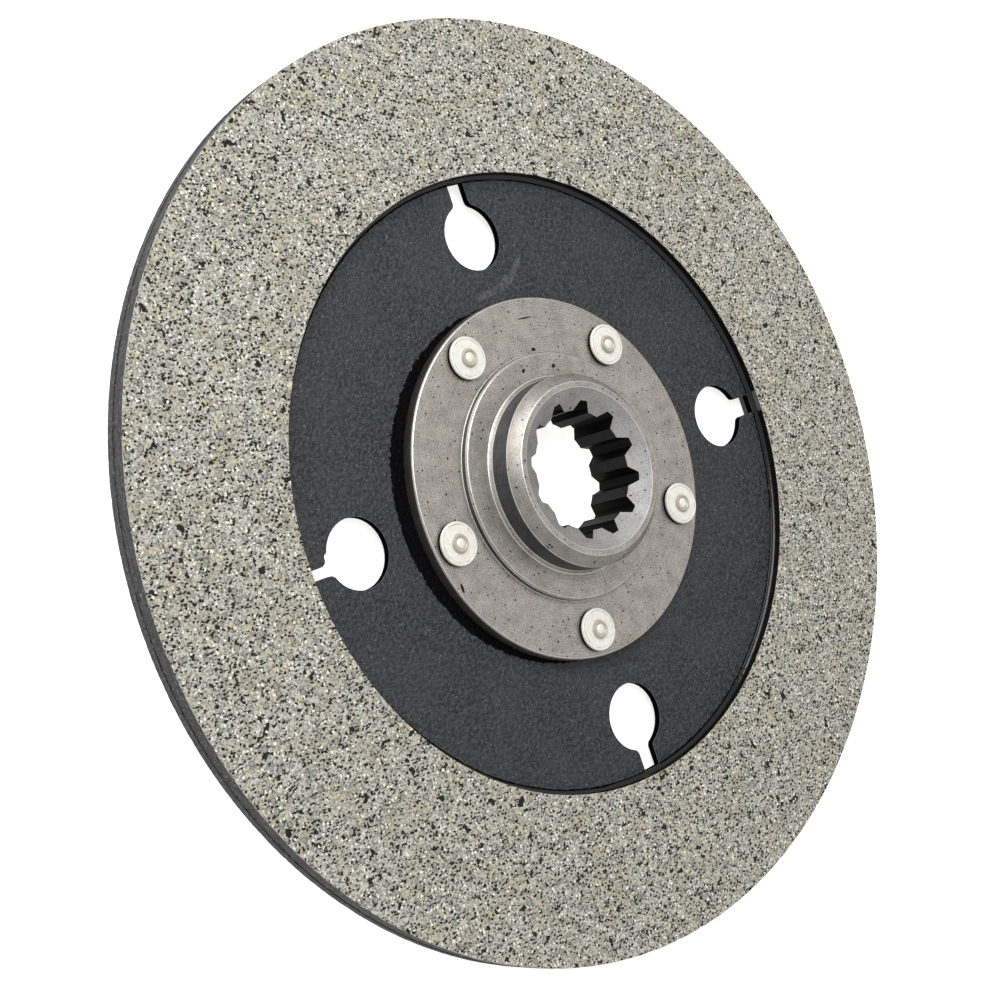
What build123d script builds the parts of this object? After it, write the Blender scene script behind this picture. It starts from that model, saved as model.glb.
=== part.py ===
from build123d import *
import os
from math import asin, cos, radians, sin, sqrt, tan

# A rigid dry clutch disc: a steel plate with a friction ring bonded to each side, and a splined
# hub riveted through its middle. Millimetres. The disc's axis is Z, the origin is on that axis at
# the rear ring's rear face, and the hub's boss points along +Z. +X runs through one keyhole.

# Friction rings
facing_outer_d = 279.4
facing_inner_d = 184.5
facing_thickness = 3.0

# Drive plate, a little inside the rings' outer edge
plate_thickness = 2.3
plate_edge_inset = 0.2

# Bead of bonding paint in the corner between the plate and each ring's inner wall
bead_leg = 1.3

# Keyholes in the plate: a round hole with a slot that runs outwards to the bead
keyhole_count = 4
keyhole_d = 20.0
keyhole_slot_w = 6.0
keyhole_slot_reach = 16.35
keyhole_mouth_r = 2.0

# One slot is part closed: past a rounded shoulder only a channel along one side is open
part_closed_number = 2
channel_w = 3.0
channel_corner_r = 1.8
shoulder_step = 1.1
shoulder_corner_r = 1.0

# Splined bore: straight-sided spaces between flat lands
spline_count = 12
spline_minor_d = 35.2
spline_depth = 2.75
spline_land_deg = 11.0
spline_flank_deg = 29.5
spline_first_deg = 8.4

# Boss round the bore, from its countersunk mouth outwards
countersink_slope_deg = 30.0
countersink_rim = 3.5
boss_face_w = 1.6
boss_chamfer = 3.05
boss_base_chamfer = 0.9
boss_height = 10.45

# Step and flange below the boss, and the spigot through the plate
step_w = 8.4
step_height = 2.3
step_chamfer = 0.5
flange_thickness = 4.0
flange_chamfer = 0.4
spigot_wall = 8.15
spigot_proud = 1.0
spigot_clearance = 0.1

# Rivets: a flat head with a round nub in front, a closed head behind, set between the step's
# wall and the flange's edge
rivet_count = 5
rivet_first_deg = 45.0
rivet_step_gap = 2.8
rivet_rim_gap = 1.6
rivet_shank_d = 7.0
rivet_hole_clearance = 0.1
rivet_head_d = 12.6
rivet_head_height = 1.7
rivet_nub_d = 5.2
rivet_nub_height = 0.9
rivet_rear_head_d = 11.0
rivet_rear_head_height = 2.0

# Radii that follow from the sizes above
facing_outer_r = facing_outer_d / 2
facing_inner_r = facing_inner_d / 2
plate_outer_r = facing_outer_r - plate_edge_inset
bead_inner_r = facing_inner_r - bead_leg
keyhole_circle_r = bead_inner_r - keyhole_slot_reach
keyhole_r = keyhole_d / 2
spline_minor_r = spline_minor_d / 2
spline_major_r = spline_minor_r + spline_depth
countersink_r = spline_major_r + countersink_rim
boss_r = countersink_r + boss_face_w + boss_chamfer
step_r = boss_r + step_w
rivet_circle_r = step_r + rivet_step_gap + rivet_head_d / 2
flange_r = rivet_circle_r + rivet_head_d / 2 + rivet_rim_gap
spigot_r = spline_major_r + spigot_wall
rivet_hole_r = rivet_shank_d / 2 + rivet_hole_clearance

# Heights that follow from the sizes above
plate_rear_z = facing_thickness
plate_front_z = plate_rear_z + plate_thickness
front_face_z = plate_front_z + facing_thickness
flange_front_z = plate_front_z + flange_thickness
step_front_z = flange_front_z + step_height
boss_front_z = step_front_z + boss_height
spigot_rear_z = plate_rear_z - spigot_proud


def turned(*points):
    """Solid of revolution about Z from the radius and height of each corner of its outline."""
    outline = make_face(Polyline(*points, close=True))
    return revolve(Plane.XZ * outline, axis=Axis.Z)


def facing(bonded_z, working_z):
    """One moulded friction ring, with the square edges that grinding its working face leaves."""
    return turned(
        (facing_inner_r, bonded_z),
        (facing_outer_r, bonded_z),
        (facing_outer_r, working_z),
        (facing_inner_r, working_z),
    )


def bond_bead(plate_face_z, side):
    """Bead in the corner of a plate face and a ring; side is +1 on the front and -1 behind."""
    return turned(
        (facing_inner_r, plate_face_z),
        (bead_inner_r, plate_face_z),
        (facing_inner_r, plate_face_z + side * bead_leg),
    )


def slot_outline(width, reach, side_y):
    """A slot along +X from the keyhole's centre, one side at side_y and the other below it."""
    return Pos(reach / 2, side_y - width / 2) * Rectangle(reach, width)


def open_keyhole():
    """Outline about the round hole's centre, with the slot open to the bead."""
    outline = Circle(keyhole_r) + slot_outline(keyhole_slot_w, keyhole_slot_reach, keyhole_slot_w / 2)
    mouth_corners = outline.vertices().sort_by(Axis.X)[:2]
    return fillet(mouth_corners, keyhole_mouth_r)


def part_closed_keyhole():
    """Outline about the round hole's centre, with the slot's far end closed but for the channel."""
    half_w = keyhole_slot_w / 2
    mouth_x = sqrt(keyhole_r**2 - half_w**2)
    shoulder_x = mouth_x + shoulder_step
    outline = Circle(keyhole_r)
    outline += slot_outline(keyhole_slot_w, shoulder_x, half_w)
    outline += slot_outline(channel_w, keyhole_slot_reach, half_w)

    def round_corner(shape, x, y, radius):
        return fillet(shape.vertices().sort_by_distance((x, y, 0))[0], radius)

    outline = round_corner(outline, mouth_x, half_w, keyhole_mouth_r)
    outline = round_corner(outline, shoulder_x, -half_w, shoulder_corner_r)
    return round_corner(outline, shoulder_x, half_w - channel_w, channel_corner_r)


def keyhole(number):
    """One keyhole's outline at its place round the plate."""
    outline = part_closed_keyhole() if number == part_closed_number else open_keyhole()
    return Rot(0, 0, number * 360 / keyhole_count) * Pos(keyhole_circle_r, 0) * outline


def rivet_places():
    return PolarLocations(rivet_circle_r, rivet_count, rivet_first_deg)


def drive_plate():
    """The sheet steel disc with its keyholes, rivet holes and hole for the hub's spigot."""
    outline = Circle(plate_outer_r) - Circle(spigot_r + spigot_clearance)
    outline -= rivet_places() * Circle(rivet_hole_r)
    for number in range(keyhole_count):
        outline -= keyhole(number)
    return extrude(Pos(0, 0, plate_rear_z) * outline, plate_thickness)


def spline_space():
    """Outline of one spline space along +X: two straight flanks and a bottom on the major circle."""
    half_mouth = radians(180 / spline_count - spline_land_deg / 2)
    mouth_x = spline_minor_r * cos(half_mouth)
    mouth_y = spline_minor_r * sin(half_mouth)
    # A flank leans towards the space's middle line. The tip is where it meets the major circle.
    lean = radians(spline_flank_deg)
    tip_turn = asin(spline_minor_r * sin(half_mouth + lean) / spline_major_r) - lean
    tip_x = spline_major_r * cos(tip_turn)
    tip_y = spline_major_r * sin(tip_turn)
    # The flanks start well inside the bore, so that the space opens into it.
    start_x = mouth_x - spline_depth
    start_y = mouth_y + spline_depth * tan(lean)
    return make_face(
        Polyline((tip_x, -tip_y), (start_x, -start_y), (start_x, start_y), (tip_x, tip_y))
        + ThreePointArc((tip_x, tip_y), (spline_major_r, 0), (tip_x, -tip_y))
    )


def splined_bore():
    """The bore's outline: the minor circle and its ring of spline spaces."""
    return Circle(spline_minor_r) + PolarLocations(0, spline_count, spline_first_deg) * spline_space()


def splined_hub():
    """One turned blank, then its broached bore, its countersink and its rivet holes."""
    hub = turned(
        (0, spigot_rear_z),
        (spigot_r, spigot_rear_z),
        (spigot_r, plate_front_z),
        (flange_r, plate_front_z),
        (flange_r, flange_front_z - flange_chamfer),
        (flange_r - flange_chamfer, flange_front_z),
        (step_r, flange_front_z),
        (step_r, step_front_z - step_chamfer),
        (step_r - step_chamfer, step_front_z),
        (boss_r + boss_base_chamfer, step_front_z),
        (boss_r, step_front_z + boss_base_chamfer),
        (boss_r, boss_front_z - boss_chamfer),
        (boss_r - boss_chamfer, boss_front_z),
        (0, boss_front_z),
    )
    hub -= extrude(Pos(0, 0, spigot_rear_z) * splined_bore(), boss_front_z - spigot_rear_z)
    countersink_depth = countersink_r * tan(radians(countersink_slope_deg))
    hub -= turned((0, boss_front_z - countersink_depth), (countersink_r, boss_front_z), (0, boss_front_z))
    for place in rivet_places():
        hub -= extrude(Pos(0, 0, plate_front_z) * place * Circle(rivet_hole_r), flange_thickness)
    return hub


def rivet():
    """One rivet on its own axis: rear head, shank, flat front head and the nub on it."""
    shank_r = rivet_shank_d / 2
    head_r = rivet_head_d / 2
    rear_r = rivet_rear_head_d / 2
    nub_r = rivet_nub_d / 2
    rear_z = plate_rear_z - rivet_rear_head_height
    head_z = flange_front_z + rivet_head_height
    nub_z = head_z + rivet_nub_height
    return turned(
        (0, rear_z),
        (rear_r, rear_z),
        (rear_r, plate_rear_z),
        (shank_r, plate_rear_z),
        (shank_r, flange_front_z),
        (head_r, flange_front_z),
        (head_r, head_z),
        (nub_r, head_z),
        (nub_r, nub_z),
        (0, nub_z),
    )


def write(node, *solids):
    """One STEP file for each sub-part, named after its node."""
    export_step(Compound(children=list(solids)), f"parts/{node}.step")


os.makedirs("parts", exist_ok=True)
write("drive_plate", drive_plate())
write("front_facing", facing(plate_front_z, front_face_z))
write("rear_facing", facing(plate_rear_z, 0))
write("front_bond_bead", bond_bead(plate_front_z, 1))
write("rear_bond_bead", bond_bead(plate_rear_z, -1))
write("splined_hub", splined_hub())
write("hub_rivets", *[place * rivet() for place in rivet_places()])
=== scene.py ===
"""Looks of a riveted clutch disc: its ground friction rings, painted plate, turned hub and plated rivets."""

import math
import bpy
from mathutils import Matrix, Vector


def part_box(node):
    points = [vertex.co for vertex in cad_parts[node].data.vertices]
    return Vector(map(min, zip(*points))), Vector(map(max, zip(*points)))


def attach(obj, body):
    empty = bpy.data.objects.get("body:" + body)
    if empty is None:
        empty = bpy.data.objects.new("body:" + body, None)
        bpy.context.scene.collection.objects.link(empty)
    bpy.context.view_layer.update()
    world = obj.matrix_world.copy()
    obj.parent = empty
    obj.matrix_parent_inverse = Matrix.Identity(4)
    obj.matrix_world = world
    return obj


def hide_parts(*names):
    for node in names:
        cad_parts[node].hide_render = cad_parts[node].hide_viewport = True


bl_info = {
    "name": "Clutch Disc",
    "version": (1, 0, 0),
    "blender": (4, 5, 0),
    "location": "View3D > Sidebar > Clutch Disc",
    "description": "Finishes a riveted clutch disc and sets up a studio for it",
    "category": "Add Mesh",
}

import bmesh
import bpy
from bpy.props import FloatProperty, FloatVectorProperty, IntProperty, PointerProperty
from mathutils import Quaternion, Vector, noise

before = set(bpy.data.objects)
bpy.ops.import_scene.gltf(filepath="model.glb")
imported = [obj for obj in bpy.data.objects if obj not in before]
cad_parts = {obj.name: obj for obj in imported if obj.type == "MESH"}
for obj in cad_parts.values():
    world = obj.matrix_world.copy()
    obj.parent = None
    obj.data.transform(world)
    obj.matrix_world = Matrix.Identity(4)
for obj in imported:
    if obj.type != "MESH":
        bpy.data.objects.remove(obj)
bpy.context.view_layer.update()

BODY = "root"
MM = 0.001
MERGE_DISTANCE = 0.001 * MM
SAME_HEIGHT = 0.01 * MM
ONE_PLANE = math.radians(0.3)

# Angles between two faces past which their edge is shaded sharp, or is a corner to be rounded
SHADED_SHARP = math.radians(24)
RING_CORNER = math.radians(25)
PLATE_CORNER = math.radians(60)
HUB_CORNER = math.radians(22)

# Least upright part of the normal of a face that is flat, turned level, ground, or sloping
FLAT = 0.9999
LEVEL = 0.98
GROUND = 0.35
SLOPING = 0.3

# Strokes of the plate's scuff: two points seen from the front and a width, in millimetres
SCUFF_STROKES = (((-6.5, 56.5), (4.0, 58.2), 3.0),
                 ((3.0, 58.0), (11.0, 61.0), 4.0),
                 ((9.5, 60.5), (15.5, 66.0), 3.0))

# Middle of the round patch of painted shade that shows beside the flange, in millimetres
FLANGE_SHADE_MIDDLE = (-5.4, 0.4)

# The hub's scratch, knocks and larger pits, laid out like the scuff's strokes
FLAT_MARKS = (((2.6, 47.6), (8.5, 47.2), 0.5),
              ((-48.3, -18.1), (-48.3, -20.2), 1.1),
              ((8.1, 31.3), (8.5, 31.5), 1.3),
              ((4.6, 37.9), (5.3, 37.7), 1.2),
              ((-3.7, 32.5), (-3.2, 32.8), 1.1))
CONE_MARKS = (((-23.3, -16.2), (-22.6, -17.2), 0.7),
              ((-22.5, -16.0), (-22.2, -16.3), 0.5),
              ((-21.9, -16.9), (-21.6, -17.1), 0.5))

# Numbers of the finishes, in the order of each piece's materials
GROUND_FACE, TURNED_RIM, PAINTED_WALL = range(3)
PLATE_FACE, PLATE_RIM = range(2)
FLAT_FACE, CONE, WALL, LAND, SPACE, SINK, WORN_AND_HIGHLIT_EDGE, FLANGE_EDGE = range(8)

# A rivet's radii and the heights of its front head and nub
SHANK_R = 3.5 * MM
HEAD_R = 6.3 * MM
REAR_HEAD_R = 5.5 * MM
NUB_R = 2.6 * MM
HEAD_HEIGHT = 1.7 * MM
NUB_HEIGHT = 0.9 * MM


def linear(hex_colour):
    """Linear red, green and blue of an sRGB hex colour."""
    def channel(text):
        value = int(text, 16) / 255
        return value / 12.92 if value <= 0.04045 else ((value + 0.055) / 1.055) ** 2.4
    return tuple(channel(hex_colour[start:start + 2]) for start in (1, 3, 5))


def colour(name, hex_colour, description):
    return FloatVectorProperty(name=name, description=description, subtype="COLOR", size=3, min=0, max=1,
                               default=linear(hex_colour))


def length(name, millimetres, description):
    return FloatProperty(name=name, description=description, subtype="DISTANCE", unit="LENGTH", min=0,
                         default=millimetres * MM, precision=5)


def number(name, value, description):
    return FloatProperty(name=name, description=description, min=0, default=value)


def turns(name, value, description):
    return IntProperty(name=name, description=description, min=24, default=value)


def reach(node):
    """Smallest and largest distance of a node's corners from the disc's axis."""
    distances = [vertex.co.xy.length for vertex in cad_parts[node].data.vertices]
    return min(distances), max(distances)


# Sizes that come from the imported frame. A hub's wall is a spline land within one reach, in the bore
# within the next, and the flange's edge past the last
RING_INNER, RING_OUTER = reach("front_facing")
BEAD_INNER, BEAD_OUTER = reach("front_bond_bead")
LAND_R, FLANGE_OUTER = reach("splined_hub")
LAND_REACH = LAND_R + 0.12 * MM
BORE_REACH = LAND_R + 3 * MM
FLANGE_REACH = FLANGE_OUTER - 0.5 * MM
REAR_FACE, PLATE_REAR = (corner.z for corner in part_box("rear_facing"))
PLATE_FRONT, FRONT_FACE = (corner.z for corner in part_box("front_facing"))
HEAD_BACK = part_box("hub_rivets")[1].z - NUB_HEIGHT - HEAD_HEIGHT


# Meshes

def spun(outline, steps, closed=True):
    """A mesh being edited: an outline of radius and height corners, spun once about the disc's axis."""
    mesh = bmesh.new()
    corners = [mesh.verts.new((radius, 0, height)) for radius, height in outline]
    following = corners[1:] + corners[:1] if closed else corners[1:]
    edges = [mesh.edges.new(pair) for pair in zip(corners, following)]
    bmesh.ops.spin(mesh, geom=corners + edges, cent=(0, 0, 0), axis=(0, 0, 1), dvec=(0, 0, 0),
                   angle=math.tau, steps=steps, use_merge=True, use_duplicate=False)
    bmesh.ops.remove_doubles(mesh, verts=mesh.verts, dist=MERGE_DISTANCE)
    bmesh.ops.recalc_face_normals(mesh, faces=mesh.faces)
    return mesh


def merged_copy(node):
    """A mesh being edited: a copy of a node's mesh with its corners merged and its flat faces whole."""
    mesh = bmesh.new()
    mesh.from_mesh(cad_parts[node].data)
    bmesh.ops.remove_doubles(mesh, verts=mesh.verts, dist=MERGE_DISTANCE)
    bmesh.ops.dissolve_limit(mesh, angle_limit=ONE_PLANE, verts=mesh.verts, edges=mesh.edges,
                             use_dissolve_boundaries=False)
    return mesh


def sharp_edges(mesh, angle):
    return [edge for edge in mesh.edges
            if len(edge.link_faces) == 2 and edge.calc_face_angle(0) > angle]


def round_edges(mesh, edges, width):
    """Rounds the edges and gives back the faces of the rounding."""
    return bmesh.ops.bevel(mesh, geom=edges, offset=width, offset_type="OFFSET", affect="EDGES",
                           segments=2, profile=0.5, material=-1, clamp_overlap=True)["faces"]


def make_piece(name, mesh, materials, replaced):
    """Turns an edited mesh into a finished piece that stands for a node of the frame."""
    data = bpy.data.meshes.new(name)
    mesh.to_mesh(data)
    mesh.free()
    for material in materials:
        data.materials.append(material)
    data.shade_smooth()
    data.set_sharp_from_angle(angle=SHADED_SHARP)
    for face in data.polygons:
        face.use_smooth = abs(face.normal.z) < FLAT
    piece = bpy.data.objects.new(name, data)
    bpy.context.scene.collection.objects.link(piece)
    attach(piece, BODY)
    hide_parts(replaced)
    return piece


# Materials

def add(tree, kind, inputs=(), **settings):
    """Adds a node with its settings. An input is a constant, or a node or socket to link."""
    node = tree.nodes.new("ShaderNode" + kind)
    for name, value in settings.items():
        setattr(node, name, value)
    for socket, value in dict(inputs).items():
        if isinstance(value, bpy.types.Node):
            value = next(output for output in value.outputs if output.enabled)
        if isinstance(value, bpy.types.NodeSocket):
            tree.links.new(value, node.inputs[socket])
        else:
            node.inputs[socket].default_value = value
    return node


def new_material(name):
    """An empty material with its tree, its shader and the piece's own coordinates."""
    material = bpy.data.materials.new(name)
    material.use_nodes = True
    tree = material.node_tree
    shader = tree.nodes["Principled BSDF"]
    place = add(tree, "TexCoord").outputs["Object"]
    return material, tree, shader, place


def per_mm(size):
    """Texture scale for features of a size in millimetres."""
    return 1 / (size * MM)


def solid(rgb):
    return (*rgb, 1)


def mix(tree, factor, below, above):
    """One colour laid over another where the factor is 1."""
    return add(tree, "Mix", {0: factor, 6: below, 7: above}, data_type="RGBA", clamp_factor=True)


def maths(tree, operation, *values):
    return add(tree, "Math", dict(enumerate(values)), operation=operation)


def fade(tree, value, start, end, low=0.0, high=1.0):
    """Smooth step of a value from start to end."""
    return add(tree, "MapRange", {0: value, 1: start, 2: end, 3: low, 4: high},
               interpolation_type="SMOOTHSTEP")


def noise_map(tree, place, size, detail=2.0, roughness=0.5, flat=True):
    """Noise of a size in millimetres, on the coordinates seen from the front or all round."""
    return add(tree, "TexNoise", {"Vector": place, "Scale": per_mm(size), "Detail": detail,
                                  "Roughness": roughness}, noise_dimensions="2D" if flat else "3D")


def warped(tree, place, size, amount):
    """The coordinates pushed about by noise, sizes in millimetres."""
    push = noise_map(tree, place, size, 1.0)
    centred = add(tree, "VectorMath", {0: push.outputs["Color"], 1: (0.5, 0.5, 0.5)}, operation="SUBTRACT")
    scaled = add(tree, "VectorMath", {0: centred, "Scale": amount * MM}, operation="SCALE")
    return add(tree, "VectorMath", {0: place, 1: scaled}, operation="ADD").outputs[0]


def cells(tree, place, size):
    """Irregular cells of a size in millimetres, on the coordinates seen from the front."""
    return add(tree, "TexVoronoi", {"Vector": place, "Scale": per_mm(size)}, voronoi_dimensions="2D")


def grains(tree, place, spacing, share, radius, softness=0.05):
    """1 inside scattered grains: their spacing in millimetres, the share of cells that hold one, and
    their radius as a part of the spacing."""
    spots = cells(tree, place, spacing)
    picked = add(tree, "SeparateColor", {0: spots.outputs["Color"]})
    own_radius = fade(tree, picked.outputs[1], 0.0, 1.0, radius * 0.5, radius)
    inside = maths(tree, "SUBTRACT", own_radius, spots.outputs["Distance"])
    held = maths(tree, "LESS_THAN", picked.outputs[0], share)
    return maths(tree, "MULTIPLY", fade(tree, inside, 0.0, softness), held)


def mark(tree, place, start, end, width, softness=0.25):
    """1 on a stroke between two points seen from the front, all in millimetres but for the softness,
    which is the part of the stroke that its edge takes."""
    start, end = Vector(start), Vector(end)
    middle = (start + end) / 2
    along = end - start
    moved = add(tree, "Mapping", {"Vector": place, "Location": (middle.x * MM, middle.y * MM, 0),
                                  "Rotation": (0, 0, math.atan2(along.y, along.x)),
                                  "Scale": ((along.length + width) / 2 * MM, width / 2 * MM, 1)},
                vector_type="TEXTURE")
    parts = add(tree, "SeparateXYZ", {0: moved})
    flat = add(tree, "CombineXYZ", {0: parts.outputs[0], 1: parts.outputs[1]})
    reached = add(tree, "VectorMath", {0: flat}, operation="LENGTH").outputs["Value"]
    return fade(tree, reached, 1 - softness, 1.0, 1.0, 0.0)


def greatest(tree, masks):
    """The greatest of several masks."""
    found = masks[0]
    for other in masks[1:]:
        found = maths(tree, "MAXIMUM", found, other)
    return found


def from_axis(tree, place):
    """Distance from the disc's axis and height, in metres."""
    parts = add(tree, "SeparateXYZ", {0: place})
    flat = add(tree, "CombineXYZ", {0: parts.outputs[0], 1: parts.outputs[1]})
    away = add(tree, "VectorMath", {0: flat}, operation="LENGTH")
    return away.outputs["Value"], parts.outputs[2]


def ground_friction_compound(look):
    """Moulded resin friction compound, ground flat: the grinding cuts through mineral grains, chopped
    fibres and pores, so the face is a matt grey beige full of black, cream and tan specks. The finest
    dust between the grains is drawn coarser than the real one."""
    material, tree, shader, place = new_material("ground_friction_compound")
    parts = add(tree, "SeparateXYZ", {0: place})
    # The pattern moves sideways with the height, so that the two rings don't show the same grains
    moved_by_height = maths(tree, "MULTIPLY_ADD", parts.outputs[2], 9.0, parts.outputs[0])
    front = add(tree, "CombineXYZ", {0: moved_by_height, 1: parts.outputs[1]}).outputs[0]
    bent = warped(tree, warped(tree, front, 1.6, 0.8), 0.35, 0.35)
    dust = add(tree, "SeparateColor", {0: cells(tree, bent, 0.42).outputs["Color"]})
    base = mix(tree, fade(tree, dust.outputs[0], 0.0, 1.0), solid(look.shade), solid(look.face))
    broad = noise_map(tree, front, 12)
    base = mix(tree, fade(tree, broad, 0.4, 0.7, 0.0, 0.3), base, solid(look.warm))
    stones = cells(tree, bent, 2.3)
    stone = add(tree, "SeparateColor", {0: stones.outputs["Color"]})
    held = maths(tree, "LESS_THAN", stone.outputs[0], 0.13)
    inside = maths(tree, "MULTIPLY", fade(tree, stones.outputs["Distance"], 0.26, 0.32, 1.0, 0.0), held)
    outline = maths(tree, "MULTIPLY", fade(tree, stones.outputs["Distance"], 0.36, 0.42, 1.0, 0.0), held)
    cream = grains(tree, bent, 1.15, 0.2, 0.36)
    tan = grains(tree, bent, 2.4, 0.2, 0.26)
    leaning = add(tree, "Mapping", {"Vector": bent, "Rotation": (0, 0, 0.5), "Scale": (0.7, 1, 1)})
    pores = grains(tree, leaning, 0.9, 0.5, 0.42, 0.04)
    torn = fade(tree, noise_map(tree, bent, 3.4, 2.5, 0.6), 0.66, 0.67)
    long_way = add(tree, "Mapping", {"Vector": bent, "Rotation": (0, 0, -0.9), "Scale": (0.25, 1, 1)})
    fibres = grains(tree, long_way, 0.9, 0.22, 0.3)
    dark = greatest(tree, [pores, torn, fibres, maths(tree, "MULTIPLY", outline, 0.75)])
    base = mix(tree, maths(tree, "MULTIPLY", dark, 0.97), base, solid(look.pore))
    base = mix(tree, maths(tree, "MULTIPLY", inside, 0.75), base, solid(look.stone))
    base = mix(tree, maths(tree, "MULTIPLY", cream, 0.9), base, solid(look.cream))
    base = mix(tree, maths(tree, "MULTIPLY", tan, 0.75), base, solid(look.tan))
    bump = add(tree, "Bump", {"Height": pores, "Strength": 0.6, "Distance": 0.15 * MM}, invert=True)
    tree.links.new(base.outputs[2], shader.inputs["Base Color"])
    tree.links.new(bump.outputs[0], shader.inputs["Normal"])
    shader.inputs["Roughness"].default_value = 0.82
    shader.inputs["Specular IOR Level"].default_value = 0.3
    return material


def turned_friction_rim(look):
    """The same compound where the rim was turned to size: darker, with streaks along the cut."""
    material, tree, shader, place = new_material("turned_friction_rim")
    stretched = add(tree, "Mapping", {"Vector": place, "Scale": (1, 1, 22)})
    streaks = noise_map(tree, stretched, 6, 4.0, 0.7, flat=False)
    mottle = noise_map(tree, place, 0.9, 2.0, 0.6, flat=False)
    base = mix(tree, fade(tree, streaks, 0.35, 0.65), solid(look.rim_dark), solid(look.rim))
    base = mix(tree, fade(tree, mottle, 0.56, 0.64, 0.0, 0.7), base, solid(look.pore))
    base = mix(tree, fade(tree, mottle, 0.4, 0.34, 0.0, 0.5), base, solid(look.shade))
    bump = add(tree, "Bump", {"Height": streaks, "Strength": 0.5, "Distance": 0.15 * MM})
    tree.links.new(base.outputs[2], shader.inputs["Base Color"])
    tree.links.new(bump.outputs[0], shader.inputs["Normal"])
    shader.inputs["Roughness"].default_value = 0.75
    shader.inputs["Specular IOR Level"].default_value = 0.25
    return material


def gloss_bonding_paint(look):
    """Black bonding paint, brushed into the corner while wet: it levels to a hard gloss with soft waves."""
    material, tree, shader, place = new_material("gloss_bonding_paint")
    waves = noise_map(tree, place, 2.6, 2.0, flat=False)
    bump = add(tree, "Bump", {"Height": waves, "Strength": 0.3, "Distance": 0.5 * MM})
    shader.inputs["Base Color"].default_value = solid(look.gloss)
    shader.inputs["Roughness"].default_value = 0.05
    shader.inputs["Specular IOR Level"].default_value = 0.55
    tree.links.new(bump.outputs[0], shader.inputs["Normal"])
    return material


def satin_plate_paint(look):
    """Satin black paint sprayed on sheet steel: a fine orange peel, with small pale specks painted in as
    its glints. It lies thicker and blacker in a thin band along the bead, and is scuffed pale in one
    place. A ragged black band beside the hub's flange is painted shade of the flange, the stamped walls
    are painted black as shade, and the rounded edges carry a painted highlight. None of the black has
    shine. The band and the scuff are on the front alone."""
    material, tree, shader, place = new_material("satin_plate_paint")
    away = from_axis(tree, place)[0]
    facing_up = add(tree, "SeparateXYZ", {0: add(tree, "NewGeometry").outputs["True Normal"]}).outputs[2]
    on_front = fade(tree, facing_up, 0.0, 0.3)
    peel = noise_map(tree, place, 1.1, 3.0, 0.7, flat=False)
    broad = noise_map(tree, place, 20, 2.0)
    base = mix(tree, fade(tree, peel, 0.38, 0.62), solid(look.paint), solid(look.paint_light))
    base = mix(tree, fade(tree, broad, 0.35, 0.65, 0.0, 0.3), base, solid(look.paint_light))
    # Small pale specks: painted glints of the orange peel
    specks = fade(tree, noise_map(tree, place, 0.5, 1.0, 0.5, flat=False), 0.67, 0.75)
    base = mix(tree, maths(tree, "MULTIPLY", specks, 0.7), base, solid(look.dust))
    strokes = greatest(tree, [mark(tree, place, *one, softness=0.5) for one in SCUFF_STROKES])
    scuff = maths(tree, "MULTIPLY", strokes, fade(tree, peel, 0.35, 0.6, 0.3, 1.0))
    scuff = maths(tree, "MULTIPLY", scuff, on_front)
    base = mix(tree, maths(tree, "MULTIPLY", scuff, 0.5), base, solid(look.scuff))
    ragged = maths(tree, "MULTIPLY_ADD", noise_map(tree, place, 1.8, 4.0, 0.7), 2 * MM, -1 * MM)
    # Painted shade of the hub's flange: a ragged black patch beside it, on the front alone
    middle = (FLANGE_SHADE_MIDDLE[0] * MM, FLANGE_SHADE_MIDDLE[1] * MM, 0)
    from_shade_middle = from_axis(tree, add(tree, "VectorMath", {0: place, 1: middle}, operation="SUBTRACT"))[0]
    flange_shade_edge = maths(tree, "ADD", ragged, FLANGE_OUTER - look.flange_shade_inset)
    into_flange_shade = maths(tree, "SUBTRACT", from_shade_middle, flange_shade_edge)
    to_bead = maths(tree, "SUBTRACT", away, BEAD_INNER - look.bead_pool)
    by_bead = maths(tree, "MULTIPLY_ADD", ragged, -0.4, to_bead)
    # The upright stamped walls are painted black, without shine: painted shade
    painted_wall_shade = fade(tree, maths(tree, "ABSOLUTE", facing_up), 0.2, 0.3, 1.0, 0.0)
    band = maths(tree, "MULTIPLY", fade(tree, into_flange_shade, -0.1 * MM, 0.1 * MM, look.flange_shade_cover, 0.0),
                 on_front)
    pooled_paint_and_shade = greatest(tree, [band, fade(tree, by_bead, -0.1 * MM, 0.1 * MM), painted_wall_shade])
    base = mix(tree, pooled_paint_and_shade, base, solid(look.gloss))
    # A pale line on the plate's rounded edges: painted highlight
    painted_edge_highlight = maths(tree, "MULTIPLY", fade(tree, facing_up, 0.3, 0.45),
                      fade(tree, facing_up, 0.9, 0.98, 1.0, 0.0))
    base = mix(tree, maths(tree, "MULTIPLY", painted_edge_highlight, 0.45), base, solid(look.dust))
    rough = fade(tree, pooled_paint_and_shade, 0.0, 1.0, 0.4, 0.28)
    shine = fade(tree, pooled_paint_and_shade, 0.0, 1.0, 0.5, 0.0)
    bump = add(tree, "Bump", {"Height": peel, "Strength": 1.0, "Distance": 0.8 * MM})
    tree.links.new(base.outputs[2], shader.inputs["Base Color"])
    tree.links.new(shine.outputs[0], shader.inputs["Specular IOR Level"])
    tree.links.new(rough.outputs[0], shader.inputs["Roughness"])
    tree.links.new(bump.outputs[0], shader.inputs["Normal"])
    return material


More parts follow.
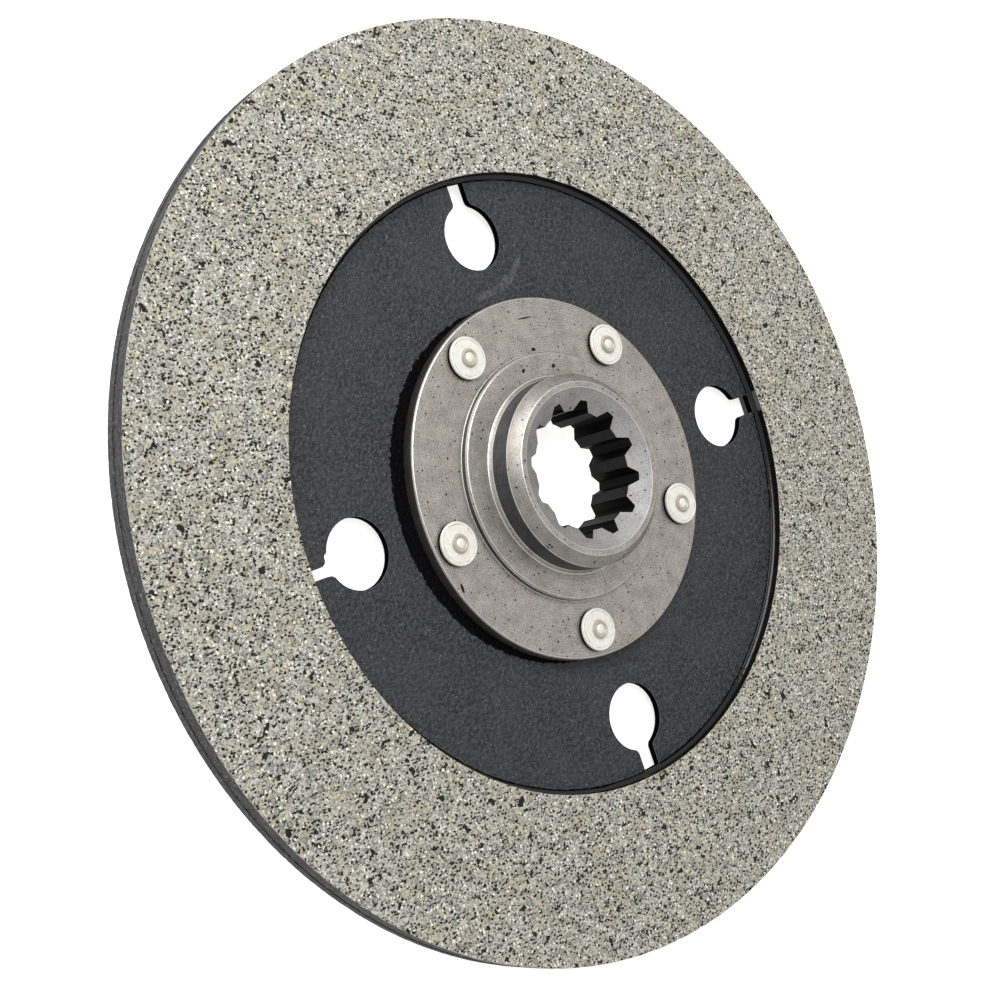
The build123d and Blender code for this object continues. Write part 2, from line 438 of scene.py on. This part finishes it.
def turned_steel(look, name, bright, dull, roughness, pit_share=0.0, marks=(), painted_bore_shade=False):
    """Steel turned on a lathe: fine concentric tool lines, soft staining, small dark pits and a few
    knocks and scratches. The pits are laid out as seen from the front, so upright walls have none.
    Where it stands for the bore's painted shade, it has no metal look and next to no shine."""
    material, tree, shader, place = new_material(name)
    away, height = from_axis(tree, place)
    along_tool = maths(tree, "MULTIPLY", maths(tree, "ADD", away, height), per_mm(0.3))
    lines = add(tree, "TexNoise", {"W": along_tool, "Scale": 1.0, "Detail": 2.0, "Roughness": 0.8},
                noise_dimensions="1D")
    stains = noise_map(tree, place, 5, 4.0, 0.65, flat=False)
    grit = noise_map(tree, place, 0.36, 2.0, 0.8, flat=False)
    tone = maths(tree, "MULTIPLY_ADD", lines, 0.25, maths(tree, "MULTIPLY", stains, 0.25))
    tone = maths(tree, "MULTIPLY_ADD", grit, 0.6, tone)
    base = mix(tree, fade(tree, tone, 0.45, 0.65), solid(dull), solid(bright))
    relief = maths(tree, "MULTIPLY_ADD", lines, 0.35, maths(tree, "MULTIPLY", grit, 0.5))
    if pit_share:
        pits = greatest(tree, [grains(tree, warped(tree, place, 0.8, 0.5), 2.3, pit_share, 0.14, 0.04)]
                        + [mark(tree, place, *one) for one in marks])
        base = mix(tree, maths(tree, "MULTIPLY", pits, 0.97), base, solid(look.pit))
        relief = maths(tree, "SUBTRACT", relief, pits)
    bump = add(tree, "Bump", {"Height": relief, "Strength": 0.4, "Distance": 0.06 * MM})
    tree.links.new(base.outputs[2], shader.inputs["Base Color"])
    tree.links.new(bump.outputs[0], shader.inputs["Normal"])
    shader.inputs["Metallic"].default_value = 0.0 if painted_bore_shade else 1.0
    shader.inputs["Specular IOR Level"].default_value = 0.05 if painted_bore_shade else 0.5
    shader.inputs["Roughness"].default_value = roughness
    return material


def white_zinc_plate(look):
    """Steel rivets plated with zinc and passivated clear: a milky satin white, with tan stains where
    the heading tool's ring held the bath."""
    material, tree, shader, place = new_material("white_zinc_plate")
    radius = add(tree, "Attribute", attribute_name="from_rivet_axis").outputs["Fac"]
    cloud = noise_map(tree, place, 1.4, 3.0, 0.65, flat=False)
    base = mix(tree, fade(tree, cloud, 0.35, 0.7), solid(look.zinc_dull), solid(look.zinc))
    height = add(tree, "SeparateXYZ", {0: place}).outputs[2]
    front_head = fade(tree, height, HEAD_BACK + 0.9 * MM, HEAD_BACK + 1.2 * MM)
    near_ring = maths(tree, "MULTIPLY", fade(tree, radius, 1.25 * MM, 1.6 * MM),
                      fade(tree, radius, 2.65 * MM, 3.1 * MM, 1.0, 0.0))
    near_ring = maths(tree, "MULTIPLY", near_ring, front_head)
    base = mix(tree, maths(tree, "MULTIPLY", near_ring, 0.6), base, solid(look.stain))
    near_rim = maths(tree, "MULTIPLY", fade(tree, radius, 5.25 * MM, 5.4 * MM),
                     fade(tree, radius, 5.5 * MM, 5.65 * MM, 1.0, 0.0))
    patches = fade(tree, noise_map(tree, place, 2.0, 3.0), 0.4, 0.6, 0.3, 1.0)
    rim_stain = maths(tree, "MULTIPLY", near_rim, patches)
    base = mix(tree, maths(tree, "MULTIPLY", rim_stain, 0.6), base, solid(look.stain))
    rear_head = fade(tree, height, PLATE_REAR - 0.6 * MM, PLATE_REAR - 0.3 * MM, 1.0, 0.0)
    # The lower part of the front head's side, the shank and the rear head's top by the plate are painted
    # dark without shine: painted shade where the heads sit
    out_of_foot_shade = greatest(tree, [front_head, rear_head])
    base = mix(tree, out_of_foot_shade, solid(look.foot_shade), base)
    metallic = maths(tree, "MULTIPLY", out_of_foot_shade, 0.25)
    shine = maths(tree, "MULTIPLY", out_of_foot_shade, 0.5)
    bump = add(tree, "Bump", {"Height": cloud, "Strength": 0.3, "Distance": 0.08 * MM})
    tree.links.new(base.outputs[2], shader.inputs["Base Color"])
    tree.links.new(metallic.outputs[0], shader.inputs["Metallic"])
    tree.links.new(shine.outputs[0], shader.inputs["Specular IOR Level"])
    tree.links.new(bump.outputs[0], shader.inputs["Normal"])
    shader.inputs["Roughness"].default_value = 0.42
    return material


# What a user would change

class FrictionRings(bpy.types.PropertyGroup):
    steps: turns("Steps round", 900, "How many steps each ring is spun in")
    edge_break: length("Edge break", 0.15, "Width of the broken edges of the ground face")
    edge_wear: length("Edge wear", 0.15, "How far grains torn from the edges reach in")
    face: colour("Face", "#cccabe", "Pale dust of the ground resin")
    shade: colour("Face shade", "#7a7972", "Dark dust of the ground resin")
    warm: colour("Warm patches", "#a59b80", "Broad warmer patches of the face")
    stone: colour("Stones", "#acaaa2", "Larger grey grains with a dark outline")
    cream: colour("Cream grains", "#f7f4ea", "Small pale mineral grains")
    tan: colour("Tan grains", "#d2c092", "Larger yellowish grains")
    pore: colour("Pores", "#0a0909", "Pores and torn-out grains")
    rim: colour("Rim", "#4a4a4c", "Turned rim")
    rim_dark: colour("Rim streaks", "#2a2a2c", "Streaks on the turned rim")


class BlackPaint(bpy.types.PropertyGroup):
    steps: turns("Steps round", 480, "How many steps each bead is spun in")
    bead_waviness: length("Bead waviness", 0.25, "How much the bead's width comes and goes")
    bead_lip: length("Bead lip", 0.22, "Height of the bead's rounded lip on the plate")
    edge_round: length("Edge round", 0.09, "Rounding of the plate's edges under the paint")
    # The patch of painted shade beside the flange: how much smaller than the flange it is, and how much of
    # the satin paint it hides
    flange_shade_inset: length("Pooled patch", 0.7, "How much smaller than the flange the heavier paint's patch is")
    flange_shade_cover: number("Pooled cover", 0.93, "How much of the satin paint the heavier paint hides")
    bead_pool: length("Band by the bead", 0.35, "Width of the band of heavier paint along the bead")
    # Also the colour of the painted shade beside the flange and on the stamped walls
    gloss: colour("Gloss paint", "#070708", "Bonding paint and pooled paint")
    paint: colour("Plate paint", "#101113", "Satin paint on the plate")
    paint_light: colour("Plate paint, dusty", "#3b3c40", "Lighter clouds in the satin paint")
    # Also the colour of the painted glints of the peel and of the painted highlight on the rounded edges
    dust: colour("Specks", "#85868a", "Bright specks in the satin paint")
    scuff: colour("Scuff", "#66666a", "Pale scuff on the plate")


class TurnedHub(bpy.types.PropertyGroup):
    edge_round: length("Edge round", 0.16, "Rounding of the turned edges")
    bright: colour("Steel", "#dad4cb", "Turned steel of the flat faces")
    dull: colour("Steel, dull", "#a19b93", "Duller turns of the flat faces")
    cone_bright: colour("Cones", "#b0aca7", "Turned steel of the sloping faces")
    cone_dull: colour("Cones, dull", "#857f79", "Duller turns of the sloping faces")
    sink_bright: colour("Countersink", "#c3c2c1", "Turned steel of the countersink")
    sink_dull: colour("Countersink, dull", "#9b9a99", "Duller turns of the countersink")
    # Partly rubbed steel, partly a painted highlight along the rounded edges
    worn_and_highlight: colour("Worn edges", "#eeece8", "Steel rubbed bright along the edges")
    # The walls' darker steel is painted shade
    wall_bright: colour("Walls", "#6b6e72", "Turned steel of the upright walls")
    wall_dull: colour("Walls, dull", "#484a4d", "Duller turns of the upright walls")
    # The near black of the lands and spaces is painted shade of the deep bore
    land_bright: colour("Spline lands", "#28282a", "Bored steel of the lands between the spline spaces")
    land_dull: colour("Spline lands, dull", "#18181a", "Duller turns of the lands")
    space_bright: colour("Spline spaces", "#0b0a0a", "Broached and oiled steel of the spline spaces")
    space_dull: colour("Spline spaces, dull", "#050505", "Darkest oil in the spline spaces")
    pit: colour("Pits", "#221e1b", "Pits in the steel")


class PlatedRivets(bpy.types.PropertyGroup):
    steps: turns("Steps round", 72, "How many steps each rivet is spun in")
    zinc: colour("Zinc", "#fcfbf5", "Zinc plating")
    zinc_dull: colour("Zinc, dull", "#f0ede2", "Duller clouds in the plating")
    stain: colour("Stains", "#8f7a58", "Tan stains in the plating")
    # The heads' feet are painted dark: painted shade where they sit on the flange and the plate
    foot_shade: colour("Head's foot", "#1f1d1a", "Dirt in the corner where the heads sit on the flange")


class Studio(bpy.types.PropertyGroup):
    floor_size: length("Floor", 6000, "Width of the floor")
    floor: colour("Floor colour", "#f4f4f3", "Pale plain floor")
    floor_glow: number("Floor glow", 0.8, "Light that comes through the floor, as from a light table")
    surround: number("Surround", 0.58, "Brightness of the pale room all round")
    key_power: FloatProperty(name="Key light", description="Power of the soft light", subtype="POWER",
                             default=8.0)
    key_size: length("Key light's size", 850, "Width of the soft light")
    key_place: FloatVectorProperty(name="Key light's place", subtype="TRANSLATION", unit="LENGTH",
                                   description="Where the soft light hangs", default=(-0.22, 0.62, 0.70))
    lens: FloatProperty(name="Lens", description="Focal length in millimetres on a 36 mm sensor",
                        default=63.24)
    eye: FloatVectorProperty(name="Camera", description="Where the camera stands", subtype="TRANSLATION",
                             unit="LENGTH", default=(-0.34044, 0.02317, 0.39501))
    aim: FloatVectorProperty(name="Aim", description="Point in the middle of the picture",
                             subtype="TRANSLATION", unit="LENGTH", default=(-0.017895, -0.000581, 0.0))
    roll: FloatProperty(name="Roll", description="How far the camera is rolled", subtype="ANGLE",
                        unit="ROTATION", default=math.radians(74.415))


class ClutchDisc(bpy.types.PropertyGroup):
    rings: PointerProperty(type=FrictionRings)
    paint: PointerProperty(type=BlackPaint)
    hub: PointerProperty(type=TurnedHub)
    rivets: PointerProperty(type=PlatedRivets)
    studio: PointerProperty(type=Studio)


# Pieces

class CLUTCHDISC_OT_friction_rings(bpy.types.Operator):
    """Grind and turn both friction rings"""
    bl_idname = "clutch_disc.friction_rings"
    bl_label = "Friction rings"

    def execute(self, context):
        look = context.scene.clutch_disc.rings
        materials = [ground_friction_compound(look), turned_friction_rim(look),
                     gloss_bonding_paint(context.scene.clutch_disc.paint)]
        self.make("front_ring", "front_facing", PLATE_FRONT, FRONT_FACE, look, materials)
        self.make("rear_ring", "rear_facing", PLATE_REAR, REAR_FACE, look, materials)
        return {"FINISHED"}

    def make(self, name, node, bonded, working, look, materials):
        cut = look.edge_break
        shoulder = working - math.copysign(cut, working - bonded)
        mesh = spun([(RING_INNER, bonded), (RING_OUTER, bonded), (RING_OUTER, shoulder),
                     (RING_OUTER - cut, working), (RING_INNER + cut, working), (RING_INNER, shoulder)],
                    look.steps)
        halfway = abs(working - bonded) / 2
        corners = [edge for edge in sharp_edges(mesh, RING_CORNER)
                   if abs(edge.verts[0].co.z - bonded) > halfway]
        round_edges(mesh, corners, cut / 3)
        self.wear(mesh, look, working)
        self.paint(mesh)
        make_piece(name, mesh, materials, node)

    def wear(self, mesh, look, working):
        """Tears grains out of the two edges of the working face, inwards only."""
        depth = look.edge_wear
        middle = (RING_INNER + RING_OUTER) / 2
        for vertex in mesh.verts:
            if abs(vertex.co.z - working) > look.edge_break * 1.5:
                continue
            fine = max(0.0, noise.noise(vertex.co / (1.1 * MM)))
            torn = fine + 0.5 * max(0.0, noise.noise(vertex.co / (4 * MM)))
            radius = vertex.co.xy.length
            inward = -1 if radius > middle else 1
            vertex.co.xy *= (radius + inward * depth * torn) / radius

    def paint(self, mesh):
        """Ground face, rim and painted inner wall, by the way each face points. The bonded face's edge,
        which stands past the plate, is turned like the rim."""
        for face in mesh.faces:
            centre = face.calc_center_median()
            bonded = min(abs(centre.z - PLATE_FRONT), abs(centre.z - PLATE_REAR)) < SAME_HEIGHT
            if abs(face.normal.z) > GROUND and not bonded:
                face.material_index = GROUND_FACE
            elif bonded or centre.xy.dot(face.normal.xy) > 0:
                face.material_index = TURNED_RIM
            else:
                face.material_index = PAINTED_WALL


class CLUTCHDISC_OT_bond_beads(bpy.types.Operator):
    """Brush a bead of bonding paint into the corner of each ring and the plate"""
    bl_idname = "clutch_disc.bond_beads"
    bl_label = "Bond beads"

    def execute(self, context):
        look = context.scene.clutch_disc.paint
        material = gloss_bonding_paint(look)
        self.make("front_bead", "front_bond_bead", PLATE_FRONT, 1, look, material)
        self.make("rear_bead", "rear_bond_bead", PLATE_REAR, -1, look, material)
        return {"FINISHED"}

    def make(self, name, node, plate_face, side, look, material):
        # A rounded lip on the plate, then a hollow quarter round, as wet paint draws into a corner
        leg = BEAD_OUTER - BEAD_INNER
        lip = look.bead_lip
        outline = [(BEAD_OUTER, plate_face)]
        for step in range(4):
            turn = math.pi / 2 * step / 3
            outline.append((BEAD_INNER + lip * (1 - math.cos(turn)),
                            plate_face + side * lip * math.sin(turn)))
        for step in range(2, 7):
            turn = math.pi / 2 * step / 6
            climb = lip + (leg - lip) * (1 - math.cos(turn))
            outline.append((BEAD_INNER + leg * math.sin(turn), plate_face + side * climb))
        mesh = spun(outline, look.steps)
        for vertex in mesh.verts:
            radius = vertex.co.xy.length
            share = (BEAD_OUTER - radius) / leg
            swell = max(0.0, noise.noise(vertex.co / (9 * MM)) + 0.3)
            vertex.co.xy *= (radius + share * swell * look.bead_waviness) / radius
        make_piece(name, mesh, [material], node)


class CLUTCHDISC_OT_drive_plate(bpy.types.Operator):
    """Round the plate's stamped edges and paint it"""
    bl_idname = "clutch_disc.drive_plate"
    bl_label = "Drive plate"

    def execute(self, context):
        look = context.scene.clutch_disc.paint
        mesh = merged_copy("drive_plate")
        inside = [edge for edge in sharp_edges(mesh, PLATE_CORNER)
                  if edge.verts[0].co.xy.length < RING_INNER]
        round_edges(mesh, inside, look.edge_round)
        for face in mesh.faces:
            outer_wall = abs(face.normal.z) < FLAT and face.calc_center_median().xy.length > RING_INNER
            face.material_index = PLATE_RIM if outer_wall else PLATE_FACE
        materials = [satin_plate_paint(look), turned_friction_rim(context.scene.clutch_disc.rings)]
        make_piece("painted_plate", mesh, materials, "drive_plate")
        return {"FINISHED"}


class CLUTCHDISC_OT_hub(bpy.types.Operator):
    """Turn the hub's edges and finish its faces and bore"""
    bl_idname = "clutch_disc.hub"
    bl_label = "Splined hub"

    def execute(self, context):
        look = context.scene.clutch_disc.hub
        mesh = merged_copy("splined_hub")
        outside_bore = [edge for edge in sharp_edges(mesh, HUB_CORNER)
                        if min(vertex.co.xy.length for vertex in edge.verts) > BORE_REACH]
        rounded = round_edges(mesh, outside_bore, look.edge_round)
        for face in mesh.faces:
            face.material_index = self.finish(face)
        for face in rounded:
            face.material_index = WORN_AND_HIGHLIT_EDGE
        materials = [turned_steel(look, "turned_steel_flats", look.bright, look.dull, 0.5, 0.45, FLAT_MARKS),
                     turned_steel(look, "turned_steel_cones", look.cone_bright, look.cone_dull, 0.45, 0.3,
                                  CONE_MARKS),
                     # Upright walls: the darker steel is painted shade
                     turned_steel(look, "turned_steel_walls", look.wall_bright, look.wall_dull, 0.5),
                     # Lands and spaces: near black with no shine, painted shade of the deep bore
                     turned_steel(look, "bored_steel_lands", look.land_bright, look.land_dull, 0.5,
                                  painted_bore_shade=True),
                     turned_steel(look, "broached_steel_spaces", look.space_bright, look.space_dull, 0.5,
                                  painted_bore_shade=True),
                     turned_steel(look, "countersunk_steel", look.sink_bright, look.sink_dull, 0.68, 0.2),
                     # Rounded edges: rubbed steel, and a painted highlight
                     turned_steel(look, "worn_and_highlit_steel_edges", look.worn_and_highlight, look.bright, 0.4),
                     turned_steel(look, "turned_steel_rim", look.cone_bright, look.cone_dull, 0.45)]
        hub = make_piece("turned_hub", mesh, materials, "splined_hub")
        self.smooth_countersink(hub.data)
        return {"FINISHED"}

    def smooth_countersink(self, data):
        """Shades the countersink as the true cone that its facets stand for."""
        normals = [Vector() for _ in data.loops]
        for face in data.polygons:
            if face.material_index != SINK:
                continue
            for corner in face.loop_indices:
                place = data.vertices[data.loops[corner].vertex_index].co.xy.normalized()
                lean = -place * face.normal.xy.length
                normals[corner] = Vector((lean.x, lean.y, face.normal.z))
        data.normals_split_custom_set(normals)

    def finish(self, face):
        """Number of a face's finish, by the way it points and its distance from the axis."""
        slope = abs(face.normal.z)
        outwards = face.calc_center_median().xy.dot(face.normal.xy) > 0
        radius = face.calc_center_median().xy.length
        if slope > LEVEL:
            return FLAT_FACE
        if slope > SLOPING:
            return CONE if outwards else SINK
        if radius > BORE_REACH:
            return FLANGE_EDGE if radius > FLANGE_REACH else WALL
        return LAND if radius < LAND_REACH else SPACE


class CLUTCHDISC_OT_rivets(bpy.types.Operator):
    """Head and plate the five rivets"""
    bl_idname = "clutch_disc.rivets"
    bl_label = "Rivets"

    def execute(self, context):
        look = context.scene.clutch_disc.rivets
        low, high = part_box("hub_rivets")
        mesh = bmesh.new()
        radius_layer = mesh.verts.layers.float.new("from_rivet_axis")
        for place in self.places():
            one = self.rivet(look.steps, low.z, high.z)
            data = bpy.data.meshes.new("one_rivet")
            one.to_mesh(data)
            one.free()
            before = len(mesh.verts)
            mesh.from_mesh(data)
            bpy.data.meshes.remove(data)
            mesh.verts.ensure_lookup_table()
            for vertex in mesh.verts[before:]:
                vertex[radius_layer] = vertex.co.xy.length
                vertex.co += place
        make_piece("plated_rivets", mesh, [white_zinc_plate(look)], "hub_rivets")
        return {"FINISHED"}

    def places(self):
        """Each rivet's axis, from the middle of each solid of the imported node."""
        mesh = merged_copy("hub_rivets")
        left = set(mesh.verts)
        centres = []
        while left:
            group = [left.pop()]
            for vertex in group:
                linked = [edge.other_vert(vertex) for edge in vertex.link_edges]
                fresh = [other for other in linked if other in left]
                left.difference_update(fresh)
                group.extend(fresh)
            lows = [min(v.co[axis] for v in group) for axis in (0, 1)]
            highs = [max(v.co[axis] for v in group) for axis in (0, 1)]
            centres.append(Vector(((lows[0] + highs[0]) / 2, (lows[1] + highs[1]) / 2, 0)))
        mesh.free()
        return centres

    def rivet(self, steps, low, high):
        """One rivet on the disc's axis: closed rear head, shank, rounded front head, ringed nub."""
        head_top = high - NUB_HEIGHT
        rear_edge = 0.6 * MM
        outline = [(0, low), (REAR_HEAD_R - rear_edge, low), (REAR_HEAD_R, low + rear_edge),
                   (REAR_HEAD_R, PLATE_REAR), (SHANK_R, PLATE_REAR), (SHANK_R, HEAD_BACK),
                   (HEAD_R, HEAD_BACK), (HEAD_R, head_top - 0.45 * MM),
                   (HEAD_R - 0.15 * MM, head_top - 0.1 * MM),
                   (HEAD_R - 0.45 * MM, head_top), (HEAD_R - 0.75 * MM, head_top - 0.04 * MM),
                   (HEAD_R - 0.9 * MM, head_top - 0.12 * MM), (HEAD_R - 1.1 * MM, head_top - 0.05 * MM),
                   (NUB_R + 0.4 * MM, head_top - 0.02 * MM), (NUB_R + 0.08 * MM, head_top + 0.12 * MM),
                   (NUB_R, head_top + 0.6 * MM), (NUB_R - 0.15 * MM, high - 0.06 * MM),
                   (NUB_R - 0.4 * MM, high), (1.95 * MM, high - 0.08 * MM),
                   (1.7 * MM, high - 0.34 * MM), (1.5 * MM, high - 0.36 * MM), (1.3 * MM, high - 0.22 * MM),
                   (0.9 * MM, high - 0.08 * MM), (0.45 * MM, high - 0.02 * MM), (0, high)]
        return spun(outline, steps, closed=False)


class CLUTCHDISC_OT_studio(bpy.types.Operator):
    """Set up the pale floor, the soft light and the camera"""
    bl_idname = "clutch_disc.studio"
    bl_label = "Studio"

    def execute(self, context):
        look = context.scene.clutch_disc.studio
        self.floor(context, look)
        self.room(context, look)
        self.light(context, look)
        self.camera(context, look)
        return {"FINISHED"}

    def floor(self, context, look):
        """Pale board that glows a little, as a light table does, so that white shows through the holes."""
        mesh = bmesh.new()
        bmesh.ops.create_grid(mesh, x_segments=1, y_segments=1, size=look.floor_size / 2)
        bmesh.ops.translate(mesh, verts=mesh.verts, vec=(0, 0, -0.05 * MM))
        data = bpy.data.meshes.new("floor")
        mesh.to_mesh(data)
        mesh.free()
        material, _, shader, _ = new_material("pale_floor")
        shader.inputs["Base Color"].default_value = solid(look.floor)
        shader.inputs["Roughness"].default_value = 0.9
        shader.inputs["Emission Color"].default_value = solid(look.floor)
        shader.inputs["Emission Strength"].default_value = look.floor_glow
        data.materials.append(material)
        floor = bpy.data.objects.new("floor", data)
        context.scene.collection.objects.link(floor)

    def room(self, context, look):
        world = bpy.data.worlds.new("pale_room")
        world.use_nodes = True
        background = world.node_tree.nodes["Background"]
        background.inputs["Color"].default_value = (1, 1, 1, 1)
        background.inputs["Strength"].default_value = look.surround
        context.scene.world = world

    def light(self, context, look):
        data = bpy.data.lights.new("key_light", "AREA")
        data.energy = look.key_power
        data.size = look.key_size
        place = Vector(look.key_place)
        lamp = bpy.data.objects.new("key_light", data)
        lamp.location = place
        lamp.rotation_euler = (-place).to_track_quat("-Z", "Y").to_euler()
        context.scene.collection.objects.link(lamp)

    def camera(self, context, look):
        data = bpy.data.cameras.new("camera")
        data.lens = look.lens
        data.sensor_width = 36
        data.clip_start = 0.01
        camera = bpy.data.objects.new("camera", data)
        eye = Vector(look.eye)
        facing = (Vector(look.aim) - eye).to_track_quat("-Z", "Y")
        camera.location = eye
        camera.rotation_euler = (facing @ Quaternion((0, 0, 1), look.roll)).to_euler()
        context.scene.collection.objects.link(camera)
        context.scene.camera = camera
        context.scene.view_settings.view_transform = "Standard"


class CLUTCHDISC_PT_panel(bpy.types.Panel):
    """Lists the pieces and the studio"""
    bl_label = "Clutch Disc"
    bl_idname = "CLUTCHDISC_PT_panel"
    bl_space_type = "VIEW_3D"
    bl_region_type = "UI"
    bl_category = "Clutch Disc"

    def draw(self, context):
        for operator in OPERATORS:
            self.layout.operator(operator.bl_idname)


OPERATORS = (CLUTCHDISC_OT_friction_rings, CLUTCHDISC_OT_bond_beads, CLUTCHDISC_OT_drive_plate,
             CLUTCHDISC_OT_hub, CLUTCHDISC_OT_rivets, CLUTCHDISC_OT_studio)
CLASSES = (FrictionRings, BlackPaint, TurnedHub, PlatedRivets, Studio, ClutchDisc, *OPERATORS,
           CLUTCHDISC_PT_panel)


def register():
    for item in CLASSES:
        bpy.utils.register_class(item)
    bpy.types.Scene.clutch_disc = PointerProperty(type=ClutchDisc)


def unregister():
    del bpy.types.Scene.clutch_disc
    for item in reversed(CLASSES):
        bpy.utils.unregister_class(item)


def main():
    register()
    for operator in OPERATORS:
        group, name = operator.bl_idname.split(".")
        getattr(getattr(bpy.ops, group), name)()


if __name__ == "__main__":
    main()
